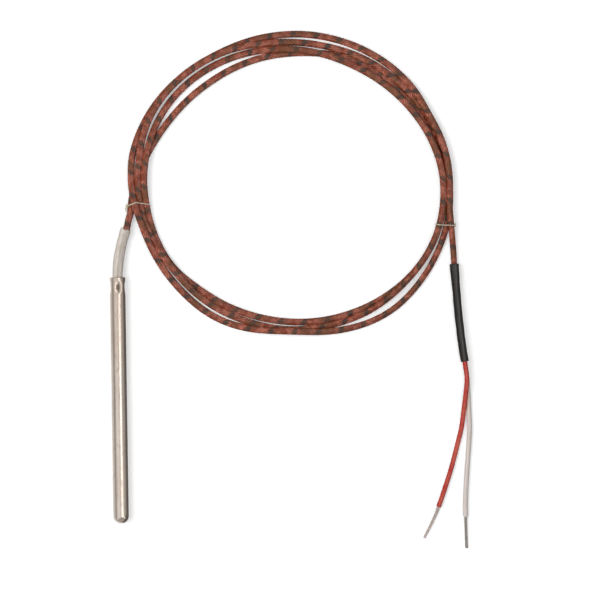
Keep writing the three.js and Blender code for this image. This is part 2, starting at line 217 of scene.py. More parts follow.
class Route:
    """A smooth path through points, cut into equal steps, with its directions at any distance along it."""

    def __init__(self, points, spacing=0.4 * MM):
        curve = smooth_curve([Vector(p) for p in points])
        lengths = [0.0]
        for a, b in zip(curve, curve[1:]):
            lengths.append(lengths[-1] + (b - a).length)
        self.length = lengths[-1]
        count = max(2, round(self.length / spacing))
        self.step = self.length / count
        self.points = []
        k = 0
        for i in range(count + 1):
            distance = self.length * i / count
            while k < len(curve) - 2 and lengths[k + 1] < distance:
                k += 1
            share = (distance - lengths[k]) / (lengths[k + 1] - lengths[k])
            self.points.append(curve[k].lerp(curve[k + 1], share))

    def at(self, distance):
        """The middle of the path at a distance, and the directions to its right and up."""
        place = min(max(distance / self.step, 0.0), len(self.points) - 1.0)
        i = min(int(place), len(self.points) - 2)
        middle = self.points[i].lerp(self.points[i + 1], place - i)
        before = self.points[max(i - 1, 0)]
        after = self.points[min(i + 2, len(self.points) - 1)]
        heading = (after - before).normalized()
        right = heading.cross(Vector((0, 0, 1))).normalized()
        return middle, right, right.cross(heading)

    def distance_at_y(self, y):
        """The distance at which the path first crosses a Y."""
        start = self.points[0].y > y
        for i, p in enumerate(self.points):
            if (p.y > y) != start:
                return i * self.step
        return self.length


# -------------------------------- mesh building


def add_piece(name, vertices, faces, materials, uv=None, material_of=None, sharp=50):
    """A mesh object that rides on the object's one body."""
    mesh = bpy.data.meshes.new(name)
    mesh.from_pydata([tuple(v) for v in vertices], [], faces)
    for material in materials:
        mesh.materials.append(material)
    mesh.polygons.foreach_set("use_smooth", [True] * len(faces))
    if material_of:
        mesh.polygons.foreach_set("material_index", material_of)
    if uv:
        layer = mesh.uv_layers.new(name="lay")
        layer.data.foreach_set("uv", [number for pair in uv for number in pair])
    mesh.set_sharp_from_angle(angle=math.radians(sharp))
    piece = bpy.data.objects.new(name, mesh)
    bpy.context.scene.collection.objects.link(piece)
    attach(piece, "root")
    return piece


def circle(angle, distance, radius):
    """The plainest outline of a skin."""
    return radius * math.cos(angle), radius * math.sin(angle)


def skin(route, stations, sides, outline=circle, twist=0.0, loop=False):
    """Vertices, faces and lay of one skin over rings along a route.

    A station is (distance, radius). outline(angle, distance, radius) gives a point's place to the right of
    the route and above it. The columns of points turn by twist radians for each metre. With loop the last
    ring joins the first, as in a hollow tube; without it both ends are capped. The lay is (distance, share of
    the way round) at each corner of each face.
    """
    vertices = []
    for distance, radius in stations:
        middle, right, up = route.at(distance)
        for k in range(sides):
            across, above = outline(TAU * k / sides + twist * distance, distance, radius)
            vertices.append(middle + right * across + up * above)
    faces, lay = [], []
    rings = len(stations)
    for i in range(rings if loop else rings - 1):
        j = (i + 1) % rings
        for k in range(sides):
            m = (k + 1) % sides
            faces.append((i * sides + k, j * sides + k, j * sides + m, i * sides + m))
            here, there = stations[i][0], stations[j][0]
            lay += [(here, k / sides), (there, k / sides), (there, (k + 1) / sides), (here, (k + 1) / sides)]
    if not loop:
        last = (rings - 1) * sides
        faces.append(tuple(range(sides)))
        faces.append(tuple(last + k for k in reversed(range(sides))))
        lay += [(stations[0][0], k / sides) for k in range(sides)]
        lay += [(stations[-1][0], k / sides) for k in range(sides)]
    return vertices, faces, lay


def even_stations(route, radius):
    """A station of one radius at each point of a route."""
    return [(i * route.step, radius) for i in range(len(route.points))]


def hollow(start, end, outer, inner, spacing, lip):
    """Stations of a hollow tube: along its outside, round its rounded end, back along its bore."""
    count = round((end - start) / spacing)
    outside = [(mix(start, end, i / count), outer) for i in range(count + 1)]
    inside = [(distance, inner) for distance, _ in reversed(outside)]
    wall = outer - inner
    far_lip = [(end + lip, outer - wall / 4), (end + lip, inner + wall / 4)]
    near_lip = [(start - lip, inner + wall / 4), (start - lip, outer - wall / 4)]
    return [*outside, *far_lip, *inside, *near_lip]


def join(parts):
    """Several (vertices, faces, lay) as one."""
    vertices, faces, lay = [], [], []
    for part_vertices, part_faces, part_lay in parts:
        offset = len(vertices)
        vertices += part_vertices
        faces += [tuple(v + offset for v in face) for face in part_faces]
        lay += part_lay
    return vertices, faces, lay


# -------------------------------- material building


class Nodes:
    """A node tree and short ways to add to it."""

    def __init__(self, tree):
        self.tree = tree

    def add(self, kind, inputs=(), **settings):
        node = self.tree.nodes.new(kind)
        for key, value in settings.items():
            setattr(node, key, value)
        for key, value in dict(inputs).items():
            if isinstance(value, bpy.types.NodeSocket):
                self.tree.links.new(value, node.inputs[key])
            else:
                node.inputs[key].default_value = value
        return node

    def math(self, operation, *values):
        return self.add("ShaderNodeMath", dict(enumerate(values)), operation=operation).outputs[0]

    def noise(self, vector, scale, detail=3.0, stretch=(1, 1, 1)):
        """A cloudy pattern from 0 to 1. The scale is in features for each metre, or lay unit."""
        mapped = self.add("ShaderNodeMapping", {"Vector": vector, "Scale": stretch}).outputs[0]
        return self.add("ShaderNodeTexNoise", {"Vector": mapped, "Scale": scale, "Detail": detail}).outputs[0]

    def blend(self, share, a, b):
        """A colour between a and b."""
        node = self.add("ShaderNodeMix", {0: share, 6: a, 7: b}, data_type="RGBA")
        return node.outputs[2]

    def between(self, share, a, b):
        """A number between a and b."""
        return self.add("ShaderNodeMix", {0: share, 2: a, 3: b}).outputs[0]

    def spread(self, value, low, high, to_low=0.0, to_high=1.0):
        """A value's range from low to high, stretched over another range."""
        inputs = {"Value": value, "From Min": low, "From Max": high, "To Min": to_low, "To Max": to_high}
        return self.add("ShaderNodeMapRange", inputs).outputs[0]

    def place(self):
        return self.add("ShaderNodeTexCoord").outputs["Object"]

    def lay(self):
        """The distance along a cord in metres, and the share of the way round it."""
        pair = self.add("ShaderNodeUVMap", uv_map="lay").outputs[0]
        split = self.add("ShaderNodeSeparateXYZ", {0: pair})
        return split.outputs[0], split.outputs[1]

    def vector(self, x, y, z=0.0):
        return self.add("ShaderNodeCombineXYZ", {0: x, 1: y, 2: z}).outputs[0]


class Look(Nodes):
    """A material with one surface shader."""

    def __init__(self, name, **shader):
        self.material = bpy.data.materials.new(name)
        self.material.use_nodes = True
        super().__init__(self.material.node_tree)
        self.shader = self.tree.nodes["Principled BSDF"]
        for socket, value in shader.items():
            self.shader.inputs[socket.replace("_", " ")].default_value = value

    def set(self, socket, output):
        self.tree.links.new(output, self.shader.inputs[socket])

    def bump(self, height, distance, strength=1.0):
        inputs = {"Height": height, "Distance": distance, "Strength": strength}
        self.set("Normal", self.add("ShaderNodeBump", inputs).outputs[0])


def linear(number):
    """An sRGB number, 0 to 255, as a share of full light."""
    if number > 10:
        return ((number / 255 + 0.055) / 1.055) ** 2.4
    return number / 255 / 12.92


def rgb(red, green, blue):
    """A colour from its three sRGB numbers."""
    return linear(red), linear(green), linear(blue), 1.0


WHITE = (1.0, 1.0, 1.0, 1.0)


BRAID_YARNS = 6  # each way round
BRAID_FLOAT = 3  # each yarn passes over three and under three
TRACER_YARNS = 2  # of the six that turn one way
BRAID_SIDES = 24
TRACER_PITCH = 9.65 * MM  # in which a yarn turns once round the lead
BRAID_RELIEF = 0.11 * MM


def braid_look(name, base, light, dark, stain):
    """Varnished glass-fibre braid: yarns that pass over and under each other, each of many fine threads, with
    painted shade in the valleys between the yarns.
    """
    look = Look(name, Roughness=0.5, Specular_IOR_Level=0.42)
    along, around = look.lay()
    pitches = look.math("DIVIDE", along, TRACER_PITCH)
    first = look.math("MULTIPLY", around, BRAID_YARNS)
    second = look.math("MULTIPLY_ADD", pitches, 2 * BRAID_YARNS, first)
    cells = look.math("SUBTRACT", look.math("FLOOR", second), look.math("FLOOR", first))
    cells = look.math("FLOORED_MODULO", cells, 2 * BRAID_FLOAT)
    under = look.math("GREATER_THAN", cells, BRAID_FLOAT - 0.5)
    crest = []
    for yarn in (first, second):
        crest.append(look.math("SINE", look.math("MULTIPLY", look.math("FRACT", yarn), math.pi)))
    height = look.between(under, *crest)
    across = look.between(under, first, second)
    threads = look.noise(look.vector(across, along), 5.0, 2.0, (1.0, 60.0, 1.0))
    place = look.place()
    patches = look.noise(place, 380.0, 1.5)
    clouds = look.noise(place, 170.0, 2.0)
    specks = look.noise(place, 800.0, 1.0)
    tone = look.blend(look.spread(patches, 0.42, 0.6), base, light)
    tone = look.blend(look.spread(clouds, 0.48, 0.64, 0.0, 0.8), tone, stain)
    tone = look.blend(look.spread(specks, 0.54, 0.72, 0.0, 0.4), tone, dark)
    tone = look.blend(look.spread(threads, 0.4, 0.75, 0.0, 0.25), tone, dark)
    # Painted shade: darker where a yarn's crest falls away into the valleys between yarns.
    tone = look.blend(look.spread(height, 0.6, 0.05, 0.0, 0.75), tone, dark)
    look.set("Base Color", tone)
    look.set("Roughness", look.spread(patches, 0.3, 0.7, 0.42, 0.62))
    look.bump(look.math("MULTIPLY_ADD", threads, 0.35, height), 0.08 * MM, 0.8)
    return look.material


def fabric_look(name, base, light, shade, scale, roughness, stretch):
    """Fine threads side by side along the lay, in slightly different tones."""
    look = Look(name, Roughness=roughness, Specular_IOR_Level=0.3, Sheen_Weight=0.15)
    along, around = look.lay()
    lines = look.noise(look.vector(along, around), scale, 3.0, stretch)
    patches = look.noise(look.place(), 420.0, 3.0)
    tone = look.blend(look.spread(lines, 0.35, 0.68), base, light)
    tone = look.blend(look.spread(patches, 0.45, 0.75, 0.0, 0.6), tone, shade)
    look.set("Base Color", tone)
    look.bump(lines, 0.1 * MM, 0.7)
    return look.material


# Painted shade: a dark colour laid in the crimps' deepest hollows, where shade falls.
PAINTED_CRIMP_SHADE = rgb(58, 48, 40)
PAINTED_CRIMP_SHADE_SHARE = 0.85
PAINTED_CRIMP_SHADE_DEPTHS = (0.3 * MM, 0.62 * MM)  # painted shade begins where the wall is pressed in this far, and is full


def painted_crimp_shade(look, place):
    """How much painted shade lies on the sheath: none but where the crimps have pressed its wall in."""
    x, y, z = look.add("ShaderNodeSeparateXYZ", {0: place}).outputs
    above = look.math("SUBTRACT", z, AXIS_Z)
    radius = look.math("SQRT", look.math("MULTIPLY_ADD", x, x, look.math("MULTIPLY", above, above)))
    begins, full = (SHEATH_RADIUS - depth for depth in PAINTED_CRIMP_SHADE_DEPTHS)
    sunk = look.spread(radius, begins, full, 0.0, PAINTED_CRIMP_SHADE_SHARE)
    from_crimp = look.math("ABSOLUTE", look.math("SUBTRACT", y, CRIMP_Y))
    near = look.spread(from_crimp, CRIMP_HALF_LENGTH * 0.8, CRIMP_HALF_LENGTH, 1.0, 0.0)
    return look.math("MULTIPLY", sunk, near)


def steel_look(name, base, tint, dirt, roughness):
    """Drawn stainless tube: fine lines along it, a warm tint in places, faint marks, painted shade in the
    crimps.
    """
    look = Look(name, Metallic=1.0, Anisotropic=0.4)
    place = look.place()
    lines = look.noise(place, 40.0, 4.0, (90.0, 1.2, 90.0))
    patches = look.noise(place, 90.0, 3.0, (1.0, 0.35, 1.0))
    marks = look.noise(place, 700.0, 5.0, (1.0, 0.5, 1.0))
    tone = look.blend(look.spread(patches, 0.35, 0.7), base, tint)
    tone = look.blend(look.spread(marks, 0.58, 0.74, 0.0, 0.4), tone, dirt)
    # Painted shade in the crimps' hollows, laid over the steel's own tone.
    look.set("Base Color", look.blend(painted_crimp_shade(look, place), tone, PAINTED_CRIMP_SHADE))
    rough = look.math("MULTIPLY_ADD", lines, 0.22, roughness - 0.1)
    look.set("Roughness", look.math("MULTIPLY_ADD", marks, 0.12, rough))
    look.bump(look.math("MULTIPLY_ADD", marks, 0.4, lines), 0.02 * MM, 0.2)
    return look.material


def wire_look(name, base, light, roughness):
    """Bare drawn wire, dulled by handling."""
    look = Look(name, Metallic=1.0)
    place = look.place()
    patches = look.noise(place, 900.0, 4.0)
    look.set("Base Color", look.blend(look.spread(patches, 0.35, 0.7), base, light))
    look.set("Roughness", look.spread(patches, 0.3, 0.7, roughness - 0.08, roughness + 0.12))
    look.bump(patches, 0.02 * MM, 0.3)
    return look.material


def plastic_look(name, base, light, roughness, relief=0.03 * MM):
    """Soft polymer with a dull, slightly uneven surface."""
    look = Look(name, Roughness=roughness, Specular_IOR_Level=0.45)
    place = look.place()
    patches = look.noise(place, 260.0, 4.0)
    grain = look.noise(place, 3500.0, 3.0)
    look.set("Base Color", look.blend(look.spread(patches, 0.35, 0.7), base, light))
    look.set("Roughness", look.spread(grain, 0.3, 0.7, roughness - 0.07, roughness + 0.1))
    look.bump(look.math("MULTIPLY_ADD", patches, 2.0, grain), relief, 0.4)
    return look.material


def ceramic_look(name, base, light, roughness):
    """Fired or set mineral, matt and speckled."""
    look = Look(name, Roughness=roughness, Specular_IOR_Level=0.3)
    place = look.place()
    specks = look.noise(place, 2500.0, 4.0)
    look.set("Base Color", look.blend(look.spread(specks, 0.4, 0.7), base, light))
    look.bump(specks, 0.05 * MM, 0.5)
    return look.material


# -------------------------------- stage: floor, light and camera

VIEW_CENTRE = Vector((0.0732, 0.04242, 0.0))
VIEW_WIDTH = 0.2443
VIEW_UP = Vector((0.0150, 0.99989, 0.0))
CAMERA_HEIGHT = 1.3
FLOOR_SIZE = 8.0

# Levels of white light, for each kind of ray. Left is towards -X and right towards +X.
BACKDROP = 0.9  # the room, as the camera sees it
WORLD_LEFT = 0.1  # the room, as it lights the object
WORLD_RIGHT = 0.2
MIRRORED_LEFT = 0.5  # the room, as metal mirrors it
MIRRORED_RIGHT = 0.75
FLOOR_MIRRORED_LEFT = 1.2  # the floor, as metal mirrors it
FLOOR_MIRRORED_RIGHT = 0.22
FLOOR_MIRRORED_EDGE = 2 * MM  # its two halves meet over this width
FLOOR_BOUNCE = 0.05  # the floor, as it lights the object
FLOOR_GLOW_NEAR = 0.36  # the floor's own light in the camera, where the lights reach it
FLOOR_GLOW_FAR = 0.86
GLOW_NEAR_ENDS = 0.25  # metres from the origin
GLOW_FAR_STARTS = 1.4

# Each light is a name, its place, width, length and power, and whether it is one that only mirrors show.
LIGHTS = [
    ("streak", (0.5, -0.02, 1.05), 0.36, 1.6, 7.6, True),
    ("panel", (-0.6, -0.02, 1.05), 1.2, 1.6, 5.7, True),
    ("key", (-0.6, 0.1, 1.05), 0.8, 1.0, 14.0, False),
    ("fill", (0.5, -0.02, 1.05), 0.8, 1.0, 5.6, False),
]


def make_camera():
    """A camera straight above, with the view's up a little off +Y."""
    data = bpy.data.cameras.new("camera")
    data.lens = data.sensor_width * CAMERA_HEIGHT / VIEW_WIDTH
    camera = bpy.data.objects.new("camera", data)
    camera.location = VIEW_CENTRE + Vector((0, 0, CAMERA_HEIGHT))
    camera.rotation_euler = (0, 0, math.atan2(-VIEW_UP.x, VIEW_UP.y))
    bpy.context.scene.collection.objects.link(camera)
    bpy.context.scene.camera = camera


def make_light(name, place, width, length, power, mirrored):
    """A soft box whose length runs along Y: either one that only mirrors show, or one that only lights."""
    data = bpy.data.lights.new(name, "AREA")
    data.shape = "RECTANGLE"
    data.size = width
    data.size_y = length
    data.energy = power
    light = bpy.data.objects.new(name, data)
    light.location = place
    light.rotation_euler = (0, math.atan2(place[0] - VIEW_CENTRE.x, place[2]), 0)
    light.visible_glossy = mirrored
    light.visible_diffuse = not mirrored
    bpy.context.scene.collection.objects.link(light)


def make_floor():
    """White paper, with one level in the camera, one in metal and one as light on the object."""
    half = FLOOR_SIZE / 2
    corners = [(-half, -half, 0), (half, -half, 0), (half, half, 0), (-half, half, 0)]
    mesh = bpy.data.meshes.new("floor")
    mesh.from_pydata(corners, [], [(0, 1, 2, 3)])
    floor = bpy.data.objects.new("floor", mesh)
    look = Look("floor_paper", Roughness=0.95, Specular_IOR_Level=0.1)
    tone = look.noise(look.place(), 3.0)
    look.set("Base Color", look.blend(tone, rgb(236, 236, 235), rgb(240, 240, 240)))
    look.shader.inputs["Emission Color"].default_value = WHITE
    away = look.add("ShaderNodeVectorMath", {0: look.place()}, operation="LENGTH").outputs["Value"]
    glow = look.spread(away, GLOW_NEAR_ENDS, GLOW_FAR_STARTS, FLOOR_GLOW_NEAR, FLOOR_GLOW_FAR)
    look.set("Emission Strength", glow)
    rays = look.add("ShaderNodeLightPath").outputs
    across = look.add("ShaderNodeSeparateXYZ", {0: look.place()}).outputs[0]
    mirrored = look.spread(across, 0.0, FLOOR_MIRRORED_EDGE, FLOOR_MIRRORED_LEFT, FLOOR_MIRRORED_RIGHT)
    level = look.between(rays["Is Glossy Ray"], FLOOR_BOUNCE, mirrored)
    returned = look.add("ShaderNodeEmission", {"Strength": level}).outputs[0]
    seen = look.shader.outputs[0]
    both = look.add("ShaderNodeMixShader", {0: rays["Is Camera Ray"], 1: returned, 2: seen})
    look.tree.links.new(both.outputs[0], look.tree.nodes["Material Output"].inputs["Surface"])
    mesh.materials.append(look.material)
    bpy.context.scene.collection.objects.link(floor)


def make_world():
    """A plain white room, a little brighter to the right."""
    world = bpy.data.worlds.new("studio")
    world.use_nodes = True
    nodes = Nodes(world.node_tree)
    background = nodes.tree.nodes["Background"]
    background.inputs["Color"].default_value = WHITE
    direction = nodes.add("ShaderNodeTexCoord").outputs["Generated"]
    across = nodes.add("ShaderNodeSeparateXYZ", {0: direction}).outputs["X"]
    lighting = nodes.spread(across, -1.0, 1.0, WORLD_LEFT, WORLD_RIGHT)
    mirrored = nodes.spread(across, -1.0, 1.0, MIRRORED_LEFT, MIRRORED_RIGHT)
    rays = nodes.add("ShaderNodeLightPath").outputs
    lit = nodes.between(rays["Is Glossy Ray"], lighting, mirrored)
    level = nodes.between(rays["Is Camera Ray"], lit, BACKDROP)
    nodes.tree.links.new(level, background.inputs["Strength"])
    bpy.context.scene.world = world


make_camera()
make_floor()
make_world()
bpy.context.scene.view_settings.view_transform = "Standard"
for light in LIGHTS:
    make_light(*light)

# -------------------------------- the lead


YARN_NUDGE = 0.001  # so that rounding doesn't decide which yarn a point between two belongs to


def on_top(first, second):
    """Whether the first of two crossing yarns lies over the second, from the yarns counted up to a point."""
    passed = math.floor(second + YARN_NUDGE) - math.floor(first + YARN_NUDGE)
    return passed % (2 * BRAID_FLOAT) < BRAID_FLOAT


def lead_roll(distance):
    """How far the oval lead is turned, in radians: it lies nearly flat, and leans over at the right tie."""
    at_tie = max(0.0, math.cos(TAU * (distance - RIGHT_TIE_DISTANCE) / LAP_LENGTH)) ** 3
    at_end = min(1.0, max(0.0, (distance - LEAD_LENGTH + END_ROLL_STARTS) / END_ROLL_LENGTH))
    return TIE_ROLL * at_tie + END_ROLL * at_end + WANDER_ROLL * math.sin(distance / WANDER_LENGTH)


def braid_outline(angle, distance, radius):
    """A ring of the braid: an oval on which the yarn on top stands proud along its own middle."""
    radius *= 1 + LEAD_FLATTENED * math.cos(2 * (angle - lead_roll(distance)))
    first = BRAID_YARNS * (angle / TAU - distance / TRACER_PITCH)
    second = BRAID_YARNS * (angle / TAU + distance / TRACER_PITCH)
    crest = math.sin(math.pi * ((first if on_top(first, second) else second) % 1.0))
    return circle(angle, distance, radius + BRAID_RELIEF * (crest - 0.5))


def tracer_faces(rings, sides):
    """1 for each face where a dark tracer yarn is on top, and 0 for every other face and the two caps."""
    marks = []
    for i in range(rings - 1):
        for k in range(sides):
            first = BRAID_YARNS * k / sides
            second = first + 2 * BRAID_YARNS * i / sides
            marks.append(1 if first < TRACER_YARNS and on_top(first, second) else 0)
    return [*marks, 0, 0]


def make_lead():
    coil = settled(coil_points(), STRAND_GAP, SETTLING_NEIGHBOURS, SETTLING_PASSES)
    points = [*map(Vector, LEAD_STARTS), *coil, *map(Vector, LEAD_ENDS)]
    route = Route(points, TRACER_PITCH / BRAID_SIDES)
    stations = even_stations(route, LEAD_RADIUS)
    vertices, faces, lay = skin(route, stations, BRAID_SIDES, braid_outline, TAU / TRACER_PITCH)
    materials = [
        braid_look("braid", rgb(142, 64, 36), rgb(198, 114, 90), rgb(34, 10, 10), rgb(112, 68, 32)),
        braid_look("tracer", rgb(58, 38, 28), rgb(100, 66, 48), rgb(20, 12, 8), rgb(80, 48, 30)),
    ]
    marks = tracer_faces(len(stations), BRAID_SIDES)
    piece = add_piece("braided_lead", vertices, faces, materials, lay, marks, 80)
    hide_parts("lead_start", "lead_coil", "lead_end")
    return piece, route


lead, lead_route = make_lead()

# -------------------------------- the sleeve over the lead's start

SLEEVE_ROUTE = [
    (0.0, 0.0330, 0.003175), (0.0, 0.0370, 0.003175), (0.0, 0.0440, 0.003175), (0.0, 0.0508, 0.003175),
    (0.0003, 0.0555, 0.0031), (0.0009, 0.0600, 0.0029), (0.0020, 0.0650, 0.00265), (0.0036, 0.0704, 0.00245),
]
SLEEVE_RADIUS = 2.08 * MM
SLEEVE_BORE = 1.68 * MM
SLEEVE_SIDES = 56
SLEEVE_FLARE_STARTS = 0.030  # metres along it
SLEEVE_FLARE_LENGTH = 0.0078
FIBRE_COUNT = 26
FIBRE_RADIUS = 0.045 * MM
FIBRE_SIDES = 5


def sleeve_outline(angle, distance, radius):
    """Loosely woven glass cloth: faint ribs along it, soft swellings, and a cut end that opens a little."""
    ribs = 0.035 * MM * math.cos(14 * angle + 60 * distance)
    swell = 0.05 * MM * math.sin(310 * distance + 2 * angle)
    flare = 0.16 * MM * max(0.0, (distance - SLEEVE_FLARE_STARTS) / SLEEVE_FLARE_LENGTH) ** 2
    return circle(angle, distance, radius + ribs + swell + flare)


def loose_fibre(route, chance):
    """One glass fibre that sticks out of the sleeve's cut end."""
    angle = chance.uniform(0, TAU)
    middle, right, up = route.at(route.length - 0.4 * MM)
    spread = right * math.cos(angle) + up * math.sin(angle)
    forward = up.cross(right)
    start = middle + spread * (SLEEVE_RADIUS - 0.05 * MM)
    reach = chance.uniform(0.5, 1.5) * MM
    side = forward.cross(spread) * chance.uniform(-0.5, 0.5) * MM
    bend = spread * chance.uniform(-0.25, 0.3) * MM
    points = [start, start + forward * reach / 2 + bend / 3, start + forward * reach + bend + side]
    fibre = Route(points, 0.2 * MM)
    return skin(fibre, even_stations(fibre, FIBRE_RADIUS), FIBRE_SIDES)


def make_sleeve():
    route = Route(SLEEVE_ROUTE)
    stations = hollow(0.0, route.length - 0.3 * MM, SLEEVE_RADIUS, SLEEVE_BORE, 0.5 * MM, 0.15 * MM)
    parts = [skin(route, stations, SLEEVE_SIDES, sleeve_outline, loop=True)]
    chance = random.Random(SEED)
    for _ in range(FIBRE_COUNT):
        parts.append(loose_fibre(route, chance))
    vertices, faces, lay = join(parts)
    material = fabric_look("glass_cloth", rgb(226, 214, 203), rgb(246, 238, 228), rgb(206, 188, 170),
                           1.0, 0.75, (260.0, 34.0, 1.0))
    piece = add_piece("glass_sleeve", vertices, faces, [material], lay)
    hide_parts("fibreglass_sleeve")
    return piece


sleeve = make_sleeve()

# -------------------------------- the heat-shrink tube

SHRINK_MIDDLE_Z = (SHRINK_LOW.z + SHRINK_HIGH.z) / 2
SHRINK_ROUTE = [
    (0.1392, 0.0543, SHRINK_MIDDLE_Z), (0.1397, 0.0462, SHRINK_MIDDLE_Z), (0.1403, 0.0377, SHRINK_MIDDLE_Z),
    (0.1414, 0.0255, SHRINK_MIDDLE_Z), (0.1429, 0.0139, SHRINK_MIDDLE_Z),
]
SHRINK_RADIUS = 1.8 * MM
SHRINK_BORE = 1.42 * MM
SHRINK_SIDES = 40
SHRINK_ROUND_ENDS = 2 * MM  # metres along it, where it begins to narrow
SHRINK_NARROWS_OVER = 9 * MM


def shrink_outline(angle, distance, radius):
    """Round over the lead, then drawn in to an upright oval over the two legs, with soft puckers."""
    share = min(1.0, max(0.0, (distance - SHRINK_ROUND_ENDS) / SHRINK_NARROWS_OVER))
    ease = share * share * (3 - 2 * share)
    wide = mix(1.05, 0.93, ease)
    high = mix(1.05, 1.30, ease)
    puckers = 0.035 * MM * math.sin(3 * angle + 420 * distance) + 0.03 * MM * math.sin(900 * distance + angle)
    return (radius * wide + puckers) * math.cos(angle), (radius * high + puckers) * math.sin(angle)


def make_shrink():
    route = Route(SHRINK_ROUTE)
    lip = 0.1 * MM
    stations = hollow(lip, route.length - lip, SHRINK_RADIUS, SHRINK_BORE, 0.6 * MM, lip)
    vertices, faces, lay = skin(route, stations, SHRINK_SIDES, shrink_outline, loop=True)
    material = plastic_look("shrink_black", rgb(10, 8, 6), rgb(30, 24, 19), 0.38)
    piece = add_piece("shrink_tube", vertices, faces, [material], lay)
    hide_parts("heat_shrink")
    return piece


shrink = make_shrink()

# -------------------------------- the two legs

LEG_RADIUS = 1.0 * MM
LEG_BORE = 0.66 * MM
LEG_SIDES = 24
LEG_STACK = 1.0 * MM  # in the heat-shrink tube one leg is this far above its middle, the other as far below
LEG_START = (0.1400, 0.0400)
LEG_YARN_PITCHES = 1300.0  # yarn crossings for each metre, each way
LEG_YARNS = 8.0
STRANDS_HIDDEN = 3 * MM  # how far the bare wires reach back into the insulation
STRAND_RINGS = 40
STRAND_SIDES = 8
RED_ROUTE = [
    (0.1437, 0.0071, 0.0032), (0.1432, 0.0011, 0.0029), (0.1424, -0.0053, 0.0019), (0.1413, -0.0132, 0.00103),
    (0.1399, -0.0188, 0.00103), (0.1364, -0.0314, 0.00103), (0.1314, -0.0458, 0.00103),
]
RED_BARE_ROUTE = [(0.1289, -0.0517, 0.00075), (0.1251, -0.0591, 0.00056)]
WHITE_ROUTE = [
    (0.1439, 0.0071, 0.0012), (0.1442, 0.0010, 0.00103), (0.1444, -0.0053, 0.00103),
    (0.1446, -0.0132, 0.00103), (0.1443, -0.0188, 0.00103), (0.1430, -0.0347, 0.00103),
    (0.1425, -0.0436, 0.00103), (0.1424, -0.0501, 0.00103),
]
WHITE_BARE_ROUTE = [(0.1425, -0.0561, 0.00075), (0.1427, -0.0635, 0.00056)]

# A leg's wires lie round the first of them, at a spread that changes from one end to the other.
CONSTANTAN_LAY = {"count": 7, "spreads": (0.58 * MM, 0.3 * MM), "radius": 0.19 * MM, "turns": 1.4}
IRON_LAY = {"count": 7, "spreads": (0.36 * MM, 0.36 * MM), "radius": 0.21 * MM, "turns": 1.1}


def leg_outline(angle, distance, radius):
    """A braided leg's fine yarns, much shallower than the lead's."""
    return circle(angle, distance, radius + 0.02 * MM * math.cos(6 * angle) * math.cos(2600 * distance))


def leg_look(name, base, light, dark, wear):
    """Varnished fine braid with small scuffs, and painted shade in the hollows of its weave."""
    look = Look(name, Roughness=0.5, Specular_IOR_Level=0.4)
    along, around = look.lay()
    waves = []
    for pitches in (LEG_YARN_PITCHES, -LEG_YARN_PITCHES):
        yarn = look.math("MULTIPLY_ADD", along, pitches, look.math("MULTIPLY", around, LEG_YARNS))
        waves.append(look.math("SINE", look.math("MULTIPLY", yarn, math.pi)))
    weave = look.math("MULTIPLY", *waves)
    place = look.place()
    patches = look.noise(place, 210.0, 3.0)
    scuffs = look.noise(place, 1500.0, 4.0, (1.0, 0.6, 1.0))
    tone = look.blend(look.spread(patches, 0.35, 0.68), base, light)
    # Painted shade: darker where the weave's relief is low, in its hollows.
    tone = look.blend(look.spread(weave, 0.0, -1.0, 0.0, 0.35), tone, dark)
    tone = look.blend(look.spread(scuffs, 0.6, 0.75, 0.0, 0.6), tone, wear)
    look.set("Base Color", tone)
    look.bump(look.math("MULTIPLY_ADD", scuffs, 0.6, weave), 0.03 * MM, 0.6)
    return look.material


def strands(route, start, end, count, spreads, radius, turns):
    """A bunch of fine wires laid in a rope round one another, as one."""
    parts = []
    for n in range(count):
        wire = []
        for i in range(STRAND_RINGS + 1):
            share = i / STRAND_RINGS
            middle, right, up = route.at(start + (end - start) * share)
            off = 0.0 if n == 0 else mix(*spreads, share ** 0.6)
            angle = TAU * (n / (count - 1) + turns * share)
            wire.append(middle + right * off * math.cos(angle) + up * off * math.sin(angle))
        path = Route(wire, 0.5 * MM)
        blunt = radius * 0.6
        stations = [(0.0, blunt), *even_stations(path, radius)[1:-1], (path.length, blunt)]
        parts.append(skin(path, stations, STRAND_SIDES))
    return join(parts)


def make_leg(colour, side, route_points, bare_points, material, metal, metal_look, lay_up):
    """A leg's braided insulation, and its wires from a little way inside that to their tips."""
    inside = [(x, y, z + side * LEG_STACK) for x, y, z in SHRINK_ROUTE if y < LEG_START[1]]
    start = (*LEG_START, SHRINK_MIDDLE_Z + side * LEG_STACK)
    whole = Route([start, *inside, *route_points, *bare_points])
    bare_from = whole.distance_at_y(route_points[-1][1])
    covered = Route(whole.points[:round(bare_from / whole.step) + 1])
    lip = 0.1 * MM
    stations = hollow(lip, covered.length - lip, LEG_RADIUS, LEG_BORE, 0.4 * MM, 0.08 * MM)
    vertices, faces, lay = skin(covered, stations, LEG_SIDES, leg_outline, loop=True)
    leg = add_piece(colour + "_leg", vertices, faces, [material], lay)
    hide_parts(colour + "_insulation")
    vertices, faces, lay = strands(whole, bare_from - STRANDS_HIDDEN, whole.length - lip, **lay_up)
    wires = add_piece(colour + "_leg_strands", vertices, faces, [metal_look], lay)
    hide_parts(metal + "_conductor")
    return leg, wires, covered


red_look = leg_look("red_braid", rgb(192, 46, 38), rgb(208, 92, 72), rgb(104, 16, 16), rgb(228, 146, 128))
white_look = leg_look("white_braid", rgb(244, 232, 227), rgb(238, 226, 210), rgb(196, 180, 172),
                      rgb(204, 190, 180))
constantan_look = wire_look("constantan", rgb(172, 158, 152), rgb(200, 186, 180), 0.42)
iron_look = wire_look("iron", rgb(130, 122, 116), rgb(156, 148, 140), 0.5)

red_leg, red_wire, red_covered = make_leg(
    "red", 1, RED_ROUTE, RED_BARE_ROUTE, red_look, "constantan", constantan_look, CONSTANTAN_LAY)
white_leg, white_wire, white_covered = make_leg(
    "white", -1, WHITE_ROUTE, WHITE_BARE_ROUTE, white_look, "iron", iron_look, IRON_LAY)

# -------------------------------- the thread ties

